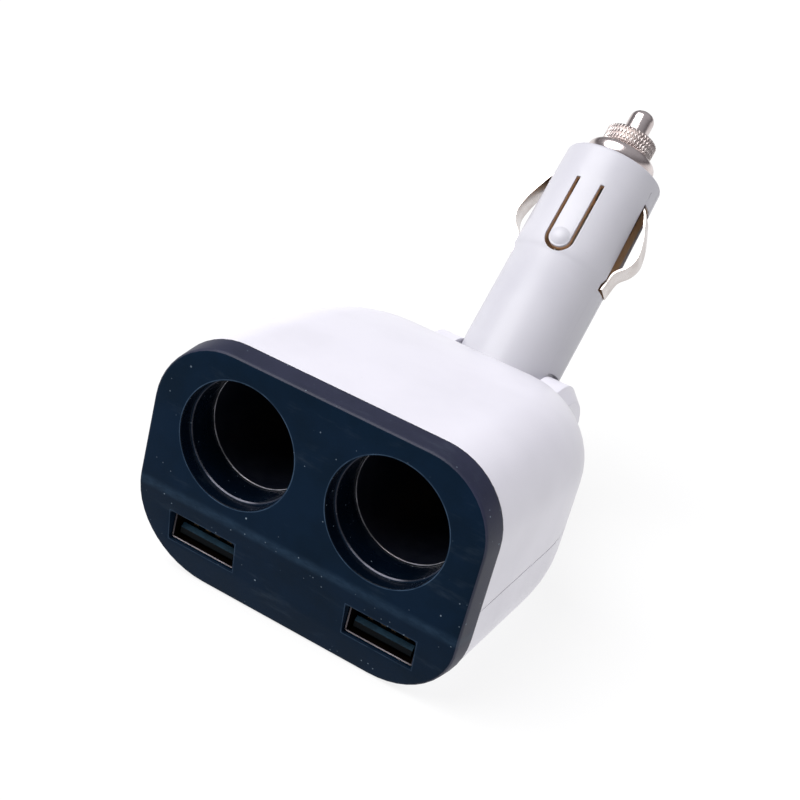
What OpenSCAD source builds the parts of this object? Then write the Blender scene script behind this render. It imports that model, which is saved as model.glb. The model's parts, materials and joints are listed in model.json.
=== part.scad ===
// Car power splitter: two 12 V sockets and two USB ports in one face,
// with a plug stem that folds on a hinge at the back.
// Lengths are in millimetres. The part stands on its flat underside,
// +Y runs from the dark face panel back to the plug, and +Z is up.

/* [White body] */
// Width of the white body just behind the face panel
body_w = 63.4; // [62.4:0.2:72]
// Height of the white body just behind the face panel
body_h = 44.7; // [44.2:0.1:52]
// Depth of the white body, from the panel's band to its back face
body_d = 48.2; // [47:0.2:58]
// Wall thickness of both white shells
wall = 1.5; // [1.2:0.1:1.8]
// Radius of the two upper corners
top_corner_r = 12.9; // [8:0.1:13.5]
// Radius of the two lower corners
low_corner_r = 14.5; // [8:0.1:15]
// Fall of the top surface for each millimetre of depth
top_slope = 0.05; // [0:0.01:0.06]
// Depth over which the sides round in towards the back
side_round_d = 22; // [14:1:26]
// How far each side has come in at the back face
side_round_in = 9; // [6:0.5:9.5]
// Depth over which the top rounds down towards the back
top_round_d = 38; // [24:1:40]
// How far the top has come down at the back face
top_round_in = 4.2; // [2:0.1:4.5]
// Depth over which the underside rounds up at the back
under_round_d = 7; // [4:0.5:10]
// How far the underside has come up at the back face
under_round_in = 3.5; // [2:0.5:4]
// Width of the parting line between the two white shells
seam_gap = 0.1; // [0.04:0.02:0.2]

/* [Face panel] */
// Depth of the dark band that shows round the side of the panel
panel_band = 4.8; // [4.2:0.1:6]
// Thickness of the panel's front plate
panel_t = 2.2; // [1.6:0.1:2.6]
// How far the band stands out beyond the white sides
panel_proud = 0.1; // [0:0.05:0.6]
// How far the band stands out above the white top
panel_proud_top = 0.1; // [0:0.05:0.6]
// How much narrower the panel is at its front edge
panel_draft = 0.35; // [0:0.05:0.6]
// Radius of the panel's front edge
edge_r = 0.6; // [0.3:0.1:1]
// Height of the crease that runs across the panel
crease_h = 15.7; // [15.7:0.1:17]
// Backward tilt of the face below the crease, in degrees
face_tilt = 11; // [5:1:13]
// Half the height over which the crease bends
crease_soft = 1.1; // [0.6:0.1:1.2]
// Depth to which the panel's lip reaches into the white body
lip_d = 7.4; // [6.6:0.1:8]
// Thickness of the panel's lip
lip_t = 1.2; // [0.8:0.1:1.6]
// Gap between the lip and the white wall
lip_gap = 0.35; // [0.3:0.05:0.5]
// Dark gap between the panel's band and the white body
shadow_gap = 0.15; // [0.05:0.05:0.3]

/* [Car sockets] */
// Distance between the two socket axes
socket_pitch = 28.8; // [27:0.1:29.4]
// Distance of the socket axes below the top of the white body
socket_top = 15.1; // [14.8:0.1:15.6]
// Radius of each socket's mouth in the panel
mouth_r = 11.1; // [10.9:0.1:11.3]
// Depth of the wide part of the mouth
mouth_d = 2.75; // [2:0.25:4]
// Radius of the guide collar behind the mouth
collar_r = 10.7; // [10.6:0.05:10.8]
// Wall thickness of the guide collar
collar_t = 1.2; // [1:0.1:1.4]
// Inner radius of the metal liner
liner_r = 10.5; // [10.4:0.05:10.55]
// Thickness of the liner's sheet metal
liner_t = 0.4; // [0.3:0.05:0.45]
// Depth of the liner's front edge behind the face
liner_front = 8.9; // [8:0.1:10]
// Distance from the liner's back edge to the centre contact
liner_back_d = 7.5; // [7:0.1:11]
// Depth to which the liner is held in the collar
liner_hold = 2.4; // [1.5:0.1:3]
// Inner radius of the narrow well that takes a plug's tip
well_r = 8.4; // [8:0.1:8.6]
// Wall thickness of the well
well_t = 1.2; // [1:0.1:1.3]
// Distance from the centre contact to the back face of the white body
contact_back_d = 8.6; // [8.4:0.1:11]
// Thickness of the well's floor
well_floor = 1.5; // [1.2:0.1:1.8]
// Radius of the centre contact's head
contact_r = 3; // [2.5:0.1:4]
// Clearance round pieces that slip into each other
slip = 0.05; // [0.02:0.01:0.08]

/* [USB ports] */
// Distance from each port's middle to the side of the white body
usb_side = 13.9; // [13.8:0.1:14.6]
// Height of the ports' middles above the underside
usb_h = 8.9; // [8.8:0.1:9.4]
// Width of each cut-out in the panel
usb_cut_w = 13.4; // [13.3:0.1:14]
// Height of each cut-out in the panel
usb_cut_h = 6.1; // [5.9:0.1:6.6]
// Outer width of the port's metal shell
usb_w = 13.1; // [12.9:0.1:13.2]
// Outer height of the port's metal shell
usb_t = 5.7; // [5.6:0.1:5.8]
// Length of the port's metal shell
usb_len = 14; // [12:0.5:16]
// Thickness of the port's sheet metal
usb_metal = 0.3; // [0.2:0.05:0.4]
// Depth of the metal shell behind the face
usb_recess = 1.2; // [0.8:0.1:1.6]
// Width of the plastic tongue
tongue_w = 11.1; // [10.5:0.1:11.5]
// Thickness of the plastic tongue
tongue_t = 1.8; // [1.6:0.1:2]
// Gap between the tongue and the shell below it
tongue_gap = 0.7; // [0.6:0.1:0.8]
// Length of the block that closes the port at its back
usb_block = 4.5; // [3:0.5:6]

/* [Circuit board] */
// Distance from each edge of the circuit board to the side of the white body
board_side = 6.7; // [6.7:0.1:8]
// Distance from the board's back edge to the back face of the white body
board_back_d = 19; // [19:0.5:21]
// Thickness of the circuit board
board_t = 1.6; // [1:0.2:1.6]

/* [Hinge] */
// Distance of the hinge axis behind the back face of the white body
hinge_back = 15.9; // [15.9:0.1:19]
// Height of the hinge axis and of the parting line
hinge_h = 19.8; // [19.8:0.1:20.4]
// Radius of the ears' round ends
ear_r = 11.8; // [11.5:0.1:12.2]
// Half the gap between the two ears
ear_gap = 9.6; // [9.5:0.1:10.2]
// Thickness of each ear
ear_t = 7.1; // [6.8:0.1:8]
// Width of the bevel round each ear's outer edge
ear_edge = 2.4; // [1:0.1:3]
// Clearance between the stem and the ears
ear_clear = 0.3; // [0.2:0.05:0.4]
// Radius of the trunnions that the stem turns on
trunnion_r = 5; // [4:0.1:5.5]
// How far each trunnion reaches into its ear
trunnion_len = 5.4; // [4:0.1:5.6]
// Running clearance round each trunnion
trunnion_gap = 0.06; // [0.03:0.01:0.09]
// Angle of the stem above straight back, as it stands
fold = 51.9; // [0:0.1:90]

/* [Plug stem] */
// Radius of the stem's lower part
stem_r = 10.4; // [10.2:0.05:10.5]
// Radius of the stem's head where it begins
head_r = 10.9; // [10.7:0.05:10.9]
// Radius of the stem's head at its white end
head_end_r = 10.5; // [10.3:0.05:10.6]
// Wall thickness of the stem
stem_wall = 1.6; // [1.4:0.1:1.8]
// Distance from the hinge to where the head begins
head_s = 32.7; // [31.9:0.1:33]
// Length of the flare between the lower part and the head
flare_len = 1.4; // [0.8:0.1:2]
// Distance from the hinge to the white end of the stem
stem_end = 57.4; // [57:0.1:59]
// Half width of the flexible finger in the head
finger_hw = 2.2; // [1.8:0.1:2.4]
// Width of the slot round the finger
finger_slot = 0.85; // [0.6:0.05:1]
// Distance from the hinge to the middle of the finger's bump
finger_s = 36.2; // [36:0.1:37]
// Length of the finger's straight sides
finger_len = 13.2; // [11:0.1:13.5]
// Height of the bump on the finger
bump_h = 0.75; // [0.4:0.05:1]

/* [Side contacts] */
// Width of each sprung side contact
bow_w = 5.4; // [4.6:0.1:5.6]
// Thickness of the contact's strip
bow_t = 0.4; // [0.3:0.05:0.45]
// Distance from the stem axis to the top of the bow
bow_r = 13.6; // [13:0.1:14]
// Clearance on each side of the strip in its slot
bow_gap = 0.6; // [0.4:0.1:0.8]
// Length of the slot that each side contact stands in
bow_slot_len = 20.3; // [20:0.1:20.8]

/* [Plug tip] */
// Radius of the tip's flange
flange_r = 7.45; // [7.2:0.05:7.8]
// Height of the tip's flange
flange_h = 3.6; // [3:0.1:4]
// Radius of the knurled ring
knurl_r = 5.4; // [5.2:0.05:5.6]
// Height of the knurled ring
knurl_h = 3.9; // [3:0.1:4.2]
// Number of ridges on the knurled ring
knurl_n = 36; // [24:2:44]
// Height of the narrow neck between the flange and the ring
neck_h = 0.25; // [0.1:0.05:0.5]
// Radius of the tip's threaded skirt
skirt_r = 6.2; // [6:0.05:6.3]
// Length of the tip's threaded skirt
skirt_len = 6; // [4.5:0.5:6]
// Thickness of the washer under the flange
washer_t = 0.4; // [0.3:0.1:0.8]
// Radius of the sprung centre pin
pin_r = 2.6; // [2.4:0.05:2.7]
// How far the centre pin stands out of the ring
pin_out = 5.85; // [5:0.05:6.5]
// Running clearance round the pin, the fuse and the skirt
tip_gap = 0.08; // [0.05:0.01:0.1]
// Radius of the fuse's end caps
fuse_r = 3.2; // [3:0.05:3.25]
// Length of the fuse
fuse_len = 30; // [29:0.5:30.5]

/* [Fasteners and wires] */
// Radius of the screws' threaded shanks
screw_r = 1.2; // [1:0.05:1.3]
// Length of the screws' shanks
screw_len = 10; // [8:0.5:11]
// Radius of the screws' heads
screw_head_r = 2.3; // [2:0.1:2.4]
// Height of the screws' heads
screw_head_h = 1.6; // [1.2:0.1:2]
// Radius of the insulated wires
wire_r = 0.75; // [0.5:0.05:0.8]

/* [Hidden] */
$fn = 96;

white = [0.95, 0.95, 0.97];
navy = [0.07, 0.13, 0.18];
plain_steel = [0.75, 0.76, 0.78];
nickel = [0.83, 0.81, 0.77];
brass = [0.83, 0.68, 0.36];
black = [0.09, 0.09, 0.10];
arc_steps = 12;
ring_steps = 26;
hollow_steps = 14;
edge_steps = 3;
row_gap = 0.05;
end_round = 0.9;
far = 200;

// Places that follow from the sizes above, measured back from the face
hinge_d = panel_band + body_d + hinge_back;
contact_d = panel_band + body_d - contact_back_d;
liner_len = contact_d - liner_back_d - liner_front;
socket_h = body_h - socket_top;
usb_pitch = body_w - 2 * usb_side;
board_w = body_w - 2 * board_side;
body_front = panel_band + shadow_gap;
body_back = panel_band + body_d;
origin_d = panel_band + (body_d - under_round_d) / 2;
liner_back = liner_front + liner_len;
liner_out = liner_r + liner_t;
well_out = well_r + well_t;
contact_t = 0.5;
well_back = contact_d + contact_t + well_floor;
well_bevel = 1.2;
bus_t = 0.5;
bus_w = 4;
usb_front = face_back(usb_h) + usb_recess;
board_top = usb_h - usb_t / 2;
// Front of the tongue behind the shell's, and its top face above the port's axis
tongue_back = 0.8;
tongue_top = usb_metal + tongue_gap + tongue_t - usb_t / 2;
board_front = lip_d + 0.6;
board_back = body_back - board_back_d;
board_len = board_back - board_front;
board_room = board_back - usb_front - usb_len;
under_liner = socket_h - liner_out - board_top;
cap_space = 0.5;
cap_r = (board_room - 2.2) / 4;
cap_h = under_liner - 1.2;
coil_r = 0.31 * board_room;
coil_h = 0.57 * under_liner;
ear_out = ear_gap + ear_t;
web_end = hinge_d - stem_r - 0.75;
web_half = 9;
cable_half = 3;
cradle_d = liner_back - 0.8;
cradle_t = 2;
screw_seat = hinge_h - 4.8;
front_screw_d = 17;
ear_screw_d = body_back + 4.5;
ear_screw_x = ear_gap + ear_t / 2;
column_r = screw_head_r + 1.2;
boss_r = 2.7;
hollow_r = stem_r - stem_wall;
head_hollow_end = stem_end - 2.9;
slot_foot = head_s - 1.3;
slot_top = slot_foot + bow_slot_len;
slot_skin = 0.5;
washer_r = flange_r - 0.35;
flange_s = stem_end + washer_t;
ring_s = flange_s + flange_h + neck_h;
tip_s = ring_s + knurl_h;
pin_shoulder = ring_s + 0.5;
collar_h = 1.5;
collar_rad = pin_r + 0.8;
fuse_front = pin_shoulder - collar_h;
fuse_back = fuse_front - fuse_len;
seat_s = 22;
seat_t = 0.8;
seat_r = 5;
plate_t = 1.2;
plate_hole = fuse_r + 0.25;

// Depth of the panel's face at height z, where the lower part leans back
function face_back(z) =
  let (lean = tan(face_tilt), u = crease_h + crease_soft - z)
  u <= 0 ? 0 : u >= 2 * crease_soft ? lean * (crease_h - z) : lean * u * u / (4 * crease_soft);

// How far an elliptical rounding has come in at depth y
function round_in(y, end, depth, amount) =
  let (t = min(1, max(0, y - end + depth) / depth))
  amount * (1 - sqrt(1 - t * t));

// Right half of a rounded outline from the top down, as [x, z] points
function half_outline(hw, top, low, rt, rl, rows) = concat(
  [for (i = [0:arc_steps]) let (a = 90 - 90 * i / arc_steps)
    [hw - rt + rt * cos(a), top - rt + rt * sin(a)]],
  [for (z = rows) [hw, z]],
  [for (i = [0:arc_steps]) let (a = -90 * i / arc_steps)
    [hw - rl + rl * cos(a), low + rl + rl * sin(a)]]
);

// The half outline and its mirror image, as one closed run of points
function both_halves(half) = concat(
  half,
  [for (i = [len(half) - 1:-1:0]) [-half[i][0], half[i][1]]]
);

function body_ring(y, inset) =
  let (
    end = body_back - inset,
    hw = body_w / 2 - inset - round_in(y, end, side_round_d, side_round_in),
    fall = top_slope * (y - panel_band) + round_in(y, end, top_round_d, top_round_in),
    low = inset + round_in(y, end, under_round_d, under_round_in)
  )
  [for (p = both_halves(half_outline(hw, body_h - inset - fall, low,
      top_corner_r - inset, low_corner_r - inset, [])))
    [p[0], y, p[1]]];

// Solid between rings of equal length, closed by level strips at both ends
module loft(rings) {
  n = len(rings[0]);
  last = (len(rings) - 1) * n;
  half = n / 2;
  sides = [for (k = [0:len(rings) - 2], i = [0:n - 1])
    let (a = k * n + i, b = k * n + (i + 1) % n)
    each [[a, a + n, b + n], [a, b + n, b]]];
  front = [for (i = [0:half - 2])
    each [[i, i + 1, n - 2 - i], [i, n - 2 - i, n - 1 - i]]];
  back = [for (f = front) [last + f[2], last + f[1], last + f[0]]];
  polyhedron(points = [for (r = rings) each r], faces = concat(sides, front, back));
}

// The white body's outer form, or the hollow inside it
module body_block(inset, start, steps) {
  end = body_back - inset;
  loft([for (k = [0:steps]) body_ring(start + (end - start) * sin(90 * k / steps), inset)]);
}

// Moves a piece from face coordinates to the part's own origin
module placed() {
  translate([0, -origin_d, 0]) children();
}

// Repeats a piece at both socket axes, or puts it at one of them
module at_socket(side) {
  translate([side * socket_pitch / 2, 0, socket_h]) rotate([-90, 0, 0]) children();
}

module at_usb(side) {
  translate([side * usb_pitch / 2, usb_front, usb_h]) children();
}

// Stem coordinates: the hinge is at the origin and the plug runs up the Z axis
module on_stem() {
  placed() translate([0, hinge_d, hinge_h]) rotate([fold - 90, 0, 0]) children();
}

module rounded_rect(w, h, r) {
  square([w - 2 * r, h], center = true);
  square([w, h - 2 * r], center = true);
  for (x = [-1, 1], y = [-1, 1])
    translate([x * (w / 2 - r), y * (h / 2 - r)]) circle(r, $fn = 32);
}

// Rings of the panel's outer skin, with a rounded front edge
function panel_ring(inset, back, wide) =
  let (
    half = half_outline(
      body_w / 2 + panel_proud - inset - panel_draft * (1 - wide),
      body_h + panel_proud_top - inset - panel_draft * (1 - wide), inset,
      top_corner_r + panel_proud - inset, low_corner_r - inset,
      crease_rows)
  )
  [for (p = both_halves(half)) [p[0], wide == 1 ? panel_band : face_back(p[1]) + back, p[1]]];

crease_rows = [for (t = [1, 0.5, 0, -0.5, -1])
  let (z = crease_h + t * crease_soft) if (z > low_corner_r + row_gap) z];

// Straight-sided block behind the face, with its front at a set depth
module face_block(inset, front, back) {
  half = half_outline(body_w / 2 - inset, body_h - inset, inset,
    top_corner_r - inset, low_corner_r - inset, crease_rows);
  loft([for (end = [0, 1])
    [for (p = both_halves(half)) [p[0], end == 1 ? back : face_back(p[1]) + front, p[1]]]]);
}

module face_panel() color(navy) placed() {
  lip_in = wall + lip_gap;
  difference() {
    union() {
      loft(concat(
        [for (k = [0:edge_steps]) let (a = 90 * k / edge_steps)
          panel_ring(edge_r * (1 - sin(a)), edge_r * (1 - cos(a)), 0)],
        [panel_ring(0, 0, 1)]));
      face_block(lip_in, panel_t / 2, lip_d);
    }
    difference() {
      face_block(lip_in + lip_t, panel_t, lip_d + 1);
      for (side = [-1, 1])
        at_socket(side) cylinder(r = collar_r + collar_t, h = far, center = true);
    }
    panel_holes();
  }
  difference() {
    for (side = [-1, 1])
      at_socket(side) translate([0, 0, lip_d - 1])
        cylinder(r = collar_r + collar_t, h = liner_front + liner_hold - lip_d + 1);
    panel_holes();
  }
}

module panel_holes() {
  for (side = [-1, 1]) {
    at_socket(side) {
      translate([0, 0, -1]) cylinder(r = mouth_r, h = mouth_d + 1);
      cylinder(r = collar_r, h = far);
      translate([0, 0, liner_front]) cylinder(r = liner_out + slip, h = far);
    }
    translate([side * usb_pitch / 2, 0, usb_h]) rotate([-90, 0, 0])
      translate([0, 0, -1]) linear_extrude(lip_d + 3) rounded_rect(usb_cut_w, usb_cut_h, 0.6);
  }
}

// Ear beside the stem, round about the hinge axis
module ear(side) {
  translate([0, hinge_d, hinge_h]) scale([side, 1, 1]) {
    rotate([90, 0, 0]) linear_extrude(hinge_d - body_back + wall) ear_section(-1);
    rotate([0, 90, 0]) rotate_extrude(angle = 180) rotate(90) mirror([0, 1]) ear_section(0);
  }
}

// Cross section of an ear: x across the part, y from -ear_r or 0 up to ear_r
module ear_section(low) {
  polygon([
    [ear_gap, ear_r], [ear_out - ear_edge, ear_r], [ear_out, ear_r - ear_edge],
    [ear_out, low * (ear_r - ear_edge)], [ear_out - abs(low) * ear_edge, low * ear_r],
    [ear_gap, low * ear_r]
  ]);
}

module hinge_block() {
  for (side = [-1, 1]) ear(side);
  translate([-ear_gap - 1, body_back - wall, hinge_h - web_half])
    cube([2 * ear_gap + 2, web_end - body_back + wall, 2 * web_half]);
}

module hinge_cuts() {
  for (side = [-1, 1])
    translate([side * (ear_gap - 1), hinge_d, hinge_h]) rotate([0, side * 90, 0])
      cylinder(r = trunnion_r + trunnion_gap, h = trunnion_len + 1.1);
  translate([-cable_half, body_back - wall - 1, hinge_h - cable_half])
    cube([2 * cable_half, web_end, 2 * cable_half]);
}

module body_half(up) {
  low = up ? hinge_h + seam_gap / 2 : -1;
  high = up ? far : hinge_h - seam_gap / 2;
  intersection() {
    difference() {
      union() {
        difference() {
          body_block(0, body_front, ring_steps);
          body_block(wall, body_front - 2.3, hollow_steps);
        }
        hinge_block();
      }
      hinge_cuts();
    }
    translate([-far, -1, low]) cube([2 * far, far, high - low]);
  }
}

// Wall across the body that carries the backs of both liners
module cradle(low, high, inset = wall / 2) {
  intersection() {
    difference() {
      translate([-far, cradle_d, low]) cube([2 * far, cradle_t, high - low]);
      for (side = [-1, 1]) at_socket(side) cylinder(r = liner_out + slip, h = far);
      translate([-cable_half - 1.5, 0, hinge_h - 9]) cube([2 * cable_half + 3, far, 12]);
    }
    body_block(inset, body_front, hollow_steps);
  }
}

module screw_places() {
  translate([0, front_screw_d, 0]) children();
  for (side = [-1, 1]) translate([side * ear_screw_x, ear_screw_d, 0]) children();
}

module upper_shell() color(white) placed() {
  difference() {
    union() {
      body_half(true);
      cradle(socket_h, far);
      intersection() {
        translate([0, front_screw_d, hinge_h + seam_gap / 2]) cylinder(r = boss_r, h = far);
        body_block(wall / 2, body_front, hollow_steps);
      }
    }
    screw_places() translate([0, 0, screw_seat]) cylinder(r = screw_r + slip, h = screw_len + 0.5);
  }
}

module lower_shell() color(white) placed() {
  difference() {
    union() {
      body_half(false);
      cradle(0, hinge_h - seam_gap / 2);
      cradle(hinge_h - 1, socket_h - 4, wall + seam_gap);
      translate([0, front_screw_d, wall / 2])
        cylinder(r = column_r, h = hinge_h - seam_gap / 2 - wall / 2);
      for (x = [-1, 1], y = [0, 1])
        translate([x * (board_w / 2 - 6), board_front + 3 + y * (board_len - 6), wall / 2])
          cylinder(r = 1.6, h = board_top - board_t - wall / 2);
    }
    screw_places() {
      translate([0, 0, -1]) cylinder(r = screw_head_r + 0.2, h = screw_seat + 1);
      cylinder(r = screw_r + 0.25, h = far);
    }
  }
}

module socket_liner(side) color(plain_steel) placed() at_socket(side)
  translate([0, 0, liner_front]) difference() {
    cylinder(r = liner_out, h = liner_len);
    translate([0, 0, -1]) cylinder(r = liner_r, h = liner_len + 2);
  }

// Plastic cup that closes the back of a socket and narrows to the tip's size
module socket_well(side) color(black) placed() at_socket(side) difference() {
  union() {
    translate([0, 0, liner_back]) cylinder(r = liner_out, h = 1.2);
    translate([0, 0, liner_back]) cylinder(r = well_out, h = well_back - liner_back - well_bevel);
    translate([0, 0, well_back - well_bevel])
      cylinder(r1 = well_out, r2 = well_out - well_bevel, h = well_bevel);
  }
  translate([0, 0, liner_back - 1]) cylinder(r = well_r, h = contact_d + contact_t - liner_back + 1);
  cylinder(r = 1.2, h = far);
}

module centre_contact(side) color(brass) placed() at_socket(side) {
  translate([0, 0, contact_d]) cylinder(r = contact_r, h = contact_t);
  translate([0, 0, contact_d]) cylinder(r = 1.2, h = well_back + bus_t - contact_d);
  translate([0, 0, well_back + bus_t]) cylinder(r = 2, h = 0.5);
}

module positive_bus_strip() color(brass) placed() difference() {
  union() {
    translate([-socket_pitch / 2 - 3, well_back, socket_h - bus_w / 2])
      cube([socket_pitch + 6, bus_t, bus_w]);
    translate([-bus_w / 2, well_back, hinge_h + 2 * wire_r])
      cube([bus_w, bus_t, socket_h - hinge_h - 2 * wire_r]);
  }
  for (side = [-1, 1]) at_socket(side) cylinder(r = 1.2, h = far);
}

module ground_bus_strip() color(plain_steel) placed()
  translate([-socket_pitch / 2 - 2, cradle_d - 5, socket_h - liner_out - slip - bus_t])
    cube([socket_pitch + 4, 3, bus_t]);

module usb_shell(side) color(plain_steel) placed() at_usb(side) rotate([-90, 0, 0])
  difference() {
    linear_extrude(usb_len) rounded_rect(usb_w, usb_t, 0.5);
    translate([0, 0, -1]) linear_extrude(usb_len + 2)
      rounded_rect(usb_w - 2 * usb_metal, usb_t - 2 * usb_metal, 0.3);
    for (x = [-1, 1]) translate([x * 3.1, 0, 6.5]) cube([1.9, far, 3.2], center = true);
  }

// Insulator of a port: a tongue in its lower half, bevelled in front, and the block that carries it
module usb_tongue(side) color(black) placed() at_usb(side) {
  inner_w = usb_w - 2 * usb_metal - 0.04;
  inner_t = usb_t - 2 * usb_metal - 0.04;
  bevel = 0.7;
  translate([-tongue_w / 2, tongue_back, tongue_top - tongue_t]) rotate([90, 0, 90])
    linear_extrude(tongue_w) polygon([[0, 0], [usb_len - usb_block, 0],
      [usb_len - usb_block, tongue_t], [bevel, tongue_t], [0, tongue_t - bevel]]);
  translate([0, usb_len - usb_block, 0]) rotate([-90, 0, 0])
    linear_extrude(usb_block) rounded_rect(inner_w, inner_t, 0.3);
}

module usb_contacts(side) color(brass) placed() at_usb(side)
  for (x = [-3.5, -1, 1, 3.5])
    translate([x - 0.5, tongue_back + 1.4, tongue_top])
      cube([1, usb_len - usb_block - tongue_back - 1.4, 0.25]);

module circuit_board() color([0.05, 0.30, 0.16]) placed() difference() {
  translate([-board_w / 2, board_front, board_top - board_t])
    cube([board_w, board_len, board_t]);
  translate([0, front_screw_d, 0]) cylinder(r = column_r + 0.3, h = far);
}

module power_inductor() color([0.22, 0.20, 0.19]) placed()
  translate([11 - board_w / 2, board_back - 0.41 * board_room, board_top]) {
    cylinder(r = coil_r, h = coil_h / 5);
    cylinder(r = 0.8 * coil_r, h = coil_h);
    translate([0, 0, 0.8 * coil_h]) cylinder(r = coil_r, h = coil_h / 5);
  }

module capacitors() color([0.12, 0.14, 0.20]) placed()
  for (row = [0, 1])
    translate([board_w / 2 - 12,
        board_back - cap_space - cap_r - row * (2 * cap_r + cap_space), board_top]) {
      cylinder(r = cap_r, h = cap_h);
      cylinder(r = cap_r + 0.1, h = 0.8);
    }

// Chip between the screw column and the board's back edge, with four pins on each side
module charger_chip() color(black) placed() {
  gap = board_back - front_screw_d - column_r;
  chip_len = 0.3 * gap;
  pin_len = chip_len / 4;
  translate([-2.5, board_back - gap / 2 - chip_len / 2, board_top]) {
    cube([5, chip_len, 1.5]);
    for (x = [0:3], y = [-pin_len, chip_len])
      translate([0.4 + x * 1.27, y, 0]) cube([0.4, pin_len, 0.2]);
  }
}

// Solid tube swept along a run of points; side is a direction that it never follows
module tube(path, r, side, around) {
  last = len(path) - 1;
  points = [for (k = [0:last])
    let (
      d = path[min(last, k + 1)] - path[max(0, k - 1)],
      u = cross(d, side) / norm(cross(d, side)),
      v = cross(d, u) / norm(d)
    )
    for (j = [0:around - 1]) let (a = 360 * j / around) path[k] + r * (cos(a) * u + sin(a) * v)];
  sides = [for (k = [0:last - 1], j = [0:around - 1])
    let (a = k * around + j, b = k * around + (j + 1) % around)
    each [[a, b, b + around], [a, b + around, a + around]]];
  polyhedron(points = points, faces = concat(sides,
    [[for (j = [around - 1:-1:0]) j]], [[for (j = [0:around - 1]) last * around + j]]));
}

module wire(path) {
  tube(smooth(path, 5), wire_r, [1, 0, 0], 8);
}

module body_leads() color([0.70, 0.08, 0.07]) placed()
  for (side = [-1, 1]) wire([
    [side * 1.2, hinge_d - 1.6, hinge_h],
    [side * 1.2, liner_back + 3, hinge_h],
    [side * 3, board_back - 1.5, board_top + 6],
    [side * 3, board_back - 1.5, board_top]
  ]);

module body_screws() color(plain_steel) placed() screw_places()
  translate([0, 0, screw_seat]) {
    difference() {
      translate([0, 0, -screw_head_h]) cylinder(r = screw_head_r, h = screw_head_h);
      for (a = [0, 90]) rotate(a)
        translate([-1.3, -0.3, -screw_head_h - 0.1]) cube([2.6, 0.6, 0.9]);
    }
    cylinder(r = screw_r, h = screw_len);
  }

// Lengthwise section of the stem's outside, as [radius, distance] points
function stem_profile() = concat(
  [[0, 0], [stem_r, 0], [stem_r, head_s], [head_r, head_s + flare_len]],
  [for (a = [0:15:90])
    [head_end_r - end_round * (1 - cos(a)), stem_end - end_round * (1 - sin(a))]],
  [[0, stem_end]]
);

module stem_form() {
  rotate_extrude() polygon(stem_profile());
  intersection() {
    sphere(stem_r);
    translate([-far, -far, -2 * far]) cube(2 * far);
  }
}

module stem_hollow() {
  cylinder(r = hollow_r, h = head_s);
  translate([0, 0, head_s - 1]) cylinder(r = hollow_r + 0.2, h = head_hollow_end - head_s + 1);
  intersection() {
    sphere(hollow_r);
    translate([-far, -far, -2 * far]) cube(2 * far);
  }
  cylinder(r = skirt_r + tip_gap, h = far);
}

// U-shaped slot that frees the finger, cut through one side of the head
module finger_slot_cut() {
  out = finger_hw + finger_slot;
  rotate([90, 0, 0]) linear_extrude(far) {
    difference() {
      translate([0, finger_s]) circle(out, $fn = 48);
      translate([0, finger_s]) circle(finger_hw, $fn = 48);
      translate([-far / 2, finger_s]) square(far);
    }
    for (x = [-out, finger_hw]) translate([x, finger_s]) square([finger_slot, finger_len]);
  }
}

// Washer-shaped walls inside the stem that hold the spring seat and the fuse
module stem_plates() {
  for (p = [[seat_s - seat_t - plate_t, 2.6], [seat_s + 4.8, plate_hole], [seat_s + 23.4, plate_hole]])
    translate([0, 0, p[0]]) difference() {
      cylinder(r = hollow_r + 0.5, h = plate_t);
      translate([0, 0, -1]) cylinder(r = p[1], h = plate_t + 2);
      for (x = [-1, 1])
        translate([x * 4.2, 4.6, -1]) cylinder(r = wire_r + 0.3, h = plate_t + 2, $fn = 24);
    }
}

module stem_shell(front) {
  cut = 0.05;
  intersection() {
    difference() {
      union() {
        difference() {
          union() {
            stem_form();
            bump();
            rotate(180) bump();
          }
          stem_hollow();
        }
        stem_plates();
        for (side = [-1, 1])
          translate([side * (hollow_r - 0.8), 0, 0]) rotate([0, side * 90, 0])
            cylinder(r = trunnion_r, h = ear_gap + trunnion_len - hollow_r + 0.8);
      }
      finger_slot_cut();
      rotate(180) finger_slot_cut();
      for (side = [-1, 1])
        translate([side > 0 ? 7 : -7 - far, -bow_w / 2 - bow_gap, slot_foot])
          cube([far, bow_w + 2 * bow_gap, slot_top - slot_foot]);
      for (side = [-1, 1])
        translate([side > 0 ? 7 : slot_skin - head_end_r, -bow_w / 2 - bow_gap, slot_foot])
          cube([head_end_r - slot_skin - 7, bow_w + 2 * bow_gap, head_hollow_end - slot_foot]);
      ear_relief();
      translate([-cable_half, -far, -far]) cube([2 * cable_half, far + cable_half, far - 4]);
      translate([-cable_half, -far, -4.5]) cube([2 * cable_half, far - 1, 4.5 + cable_half]);
    }
    translate([-far, front ? -far - cut : cut, -far]) cube([2 * far, far, 2 * far]);
  }
}

// Flat sides that let the foot of the stem turn between the ears
module ear_relief() {
  for (side = [-1, 1])
    translate([side * (ear_gap - ear_clear), 0, 0]) rotate([0, side * 90, 0]) difference() {
      cylinder(r = ear_r + 2 * ear_clear, h = far);
      translate([0, 0, -1]) cylinder(r = trunnion_r, h = far + 2);
    }
}

// Rounded bump at the free end of a finger
module bump() {
  dome = 2.9;
  intersection() {
    translate([0, dome - head_end_r - 0.3 - bump_h, finger_s]) sphere(dome, $fn = 64);
    translate([-far, -far, 0]) cube([2 * far, far - head_r + 1, far]);
  }
}

module stem_front_shell() color(white) on_stem() stem_shell(true);

module stem_back_shell() color(white) on_stem() stem_shell(false);

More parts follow.
